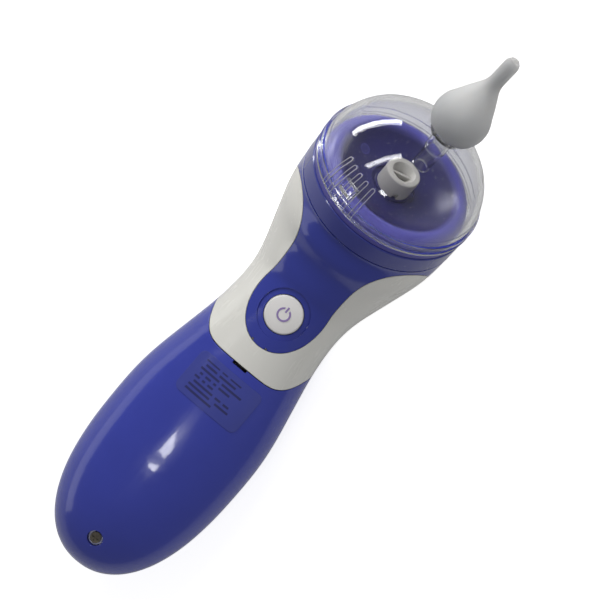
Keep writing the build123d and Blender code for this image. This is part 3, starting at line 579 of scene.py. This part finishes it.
# One mesh from several (points, quads, caps) parts, shaded smooth, its place in its vertices.
def buildPiece(name, parts, material):
    points, faces, start = [], [], 0
    for place, quads, caps in parts:
        points.append(place)
        faces += (quads + start).tolist() + [[v + start for v in cap] for cap in caps]
        start += len(place)
    mesh = bpy.data.meshes.new(name)
    mesh.from_pydata(np.concatenate(points).tolist(), [], faces)
    mesh.polygons.foreach_set("use_smooth", np.ones(len(mesh.polygons), bool))
    mesh.update()
    piece = bpy.data.objects.new(name, mesh)
    piece.data.materials.append(material)
    bpy.context.scene.collection.objects.link(piece)
    return piece


beadPlastic = plastic(
    "beadPlastic", skinLook(gripBeads["colour"], 0.05, 0.12, 0.05, 0.05, 0.0001),
    {"Transmission Weight": 0.5, "IOR": 1.5})
beadParts = [
    carriedTube(beadPath(gripBeads, index, gripBeads["steps"]), gripBeads["thickness"],
                gripBeads["sides"])
    for index in range(gripBeads["count"])]
beads = buildPiece("gripBeads", beadParts, beadPlastic)
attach(beads, "dome")
print("grip beads made")


# Hidden works

works = {
    "blackMoulding": (
        (0.020, 0.020, 0.022), 0.42,
        "battery_tray switch_plunger tact_switch board_parts motor_bell pump_housing "
        "valve_plate pump_cap"),
    "whiteNylon": (
        (0.68, 0.67, 0.62), 0.45, "motor_cradle crank_hub wobble_plate suction_deck"),
    "cellWrap": ((0.06, 0.26, 0.12), 0.22, "battery_left battery_right"),
    "wireRed": ((0.45, 0.03, 0.02), 0.35, "battery_leads motor_leads"),
    "solderGreen": ((0.02, 0.20, 0.07), 0.28, "circuit_board"),
    "hoseSilicone": ((0.70, 0.69, 0.66), 0.38, "suction_hose"),
}
for name, (colour, roughness, members) in works.items():
    look = skinLook(colour, 0.10, roughness, 0.12, 0.15, 0.0002)
    dress(plastic(name, look), *members.split())
dress(metal("nickelPlate", {"Colour": (0.66, 0.64, 0.58), "Roughness": 0.22, "Lines": 0.15}),
      "bridge_contact", "end_contacts", "contact_springs")
dress(metal("motorSteel", {"Colour": (0.50, 0.50, 0.50), "Roughness": 0.30, "Lines": 0.25}),
      "motor_can", "motor_rotor", "motor_shaft")
print("hidden works dressed")


# Studio

studio = {
    "floorHalf": 3.0,
    "floorGlow": 0.72,
    "roomGlow": 0.20,
    "camera": (0.0080, -0.0009, 0.5385),
    "turn": -49.8,
    "lens": 99.84,
}


# A level square: corners at plus and minus half, at one height.
def flatSheet(name, half, height):
    corner = np.array([(-half, -half, height), (half, -half, height),
                       (half, half, height), (-half, half, height)])
    mesh = bpy.data.meshes.new(name)
    mesh.from_pydata(corner.tolist(), [], [(0, 1, 2, 3)])
    sheet = bpy.data.objects.new(name, mesh)
    bpy.context.scene.collection.objects.link(sheet)
    return sheet


def paleFloor():
    material, tree, shader, _ = startMaterial("paleFloor")
    speck = noiseNode(tree, objectPlace(tree), 30.0, 2.0)
    shade = mixColour(tree, speck, (0.93, 0.93, 0.93), (0.95, 0.95, 0.95))
    join(tree, shade, shader.inputs["Base Color"])
    shader.inputs["Roughness"].default_value = 0.9
    shader.inputs["Specular IOR Level"].default_value = 0.1
    shader.inputs["Emission Color"].default_value = (1.0, 1.0, 1.0, 1.0)
    # the glow only lifts the floor to white for the camera, it lights nothing
    path = addNode(tree, "ShaderNodeLightPath")
    glow = mathNode(tree, "MULTIPLY", path.outputs["Is Camera Ray"], studio["floorGlow"])
    join(tree, glow, shader.inputs["Emission Strength"])
    return material


floor = flatSheet("studioFloor", studio["floorHalf"], cadBox[0].z - 0.0002)
floor.data.materials.append(paleFloor())


def softLamp(name, place, target, width, height, power, tone):
    lamp = bpy.data.lights.new(name, "AREA")
    lamp.shape = "RECTANGLE"
    lamp.size = width
    lamp.size_y = height
    lamp.energy = power
    lamp.color = tone
    holder = bpy.data.objects.new(name, lamp)
    holder.location = place
    holder.rotation_euler = (Vector(target) - Vector(place)).to_track_quat("-Z", "Y").to_euler()
    holder.visible_camera = False
    bpy.context.scene.collection.objects.link(holder)
    return holder


# Each lamp: place, aimed at, width, height, watts, colour, and the ray kinds that miss it.
middle = (0.0, 0.0, 0.02)
headMiddle = (0.055, 0.0, 0.05)
plainWhite = (1.0, 1.0, 1.0)
lamps = {
    "keyWindow": ((0.42, 0.60, 0.36), middle, 0.55, 0.40, 3.0, (1.0, 0.99, 0.97),
                  ("glossy", "transmission")),
    "fillSide": ((0.25, -0.65, 0.50), middle, 0.6, 0.5, 0.85, (0.99, 0.99, 1.0),
                 ("glossy", "transmission")),
    "stripOverHead": ((0.15, 0.15, 0.31), headMiddle, 0.26, 0.028, 0.22, plainWhite, ()),
    "stripOverGrip": ((-0.19, 0.045, 0.92), middle, 0.15, 0.07, 0.55, plainWhite, ()),
    "lowWindow": ((0.42, 0.47, 0.095), headMiddle, 0.50, 0.06, 1.9, plainWhite, ("diffuse",)),
    "edgeCard": ((-0.20, 0.60, 0.08), middle, 0.9, 0.20, 0.55, plainWhite, ("diffuse",)),
}
for name, (place, target, width, height, power, tone, missed) in lamps.items():
    holder = softLamp(name, place, target, width, height, power, tone)
    for kind in missed:
        setattr(holder, "visible_" + kind, False)

world = bpy.data.worlds.new("softRoom")
bpy.context.scene.world = world
world.use_nodes = True
background = next(n for n in world.node_tree.nodes if n.type == "BACKGROUND")
background.inputs["Color"].default_value = (1.0, 1.0, 1.0, 1.0)
background.inputs["Strength"].default_value = studio["roomGlow"]

lens = bpy.data.cameras.new("productCamera")
lens.sensor_width = 36.0
lens.lens = studio["lens"]
lens.clip_start = 0.01
lens.clip_end = 20.0
camera = bpy.data.objects.new("productCamera", lens)
camera.location = studio["camera"]
camera.rotation_euler = (0.0, 0.0, math.radians(studio["turn"]))
bpy.context.scene.collection.objects.link(camera)
bpy.context.scene.camera = camera
bpy.context.scene.view_settings.view_transform = "Standard"
print("studio set")
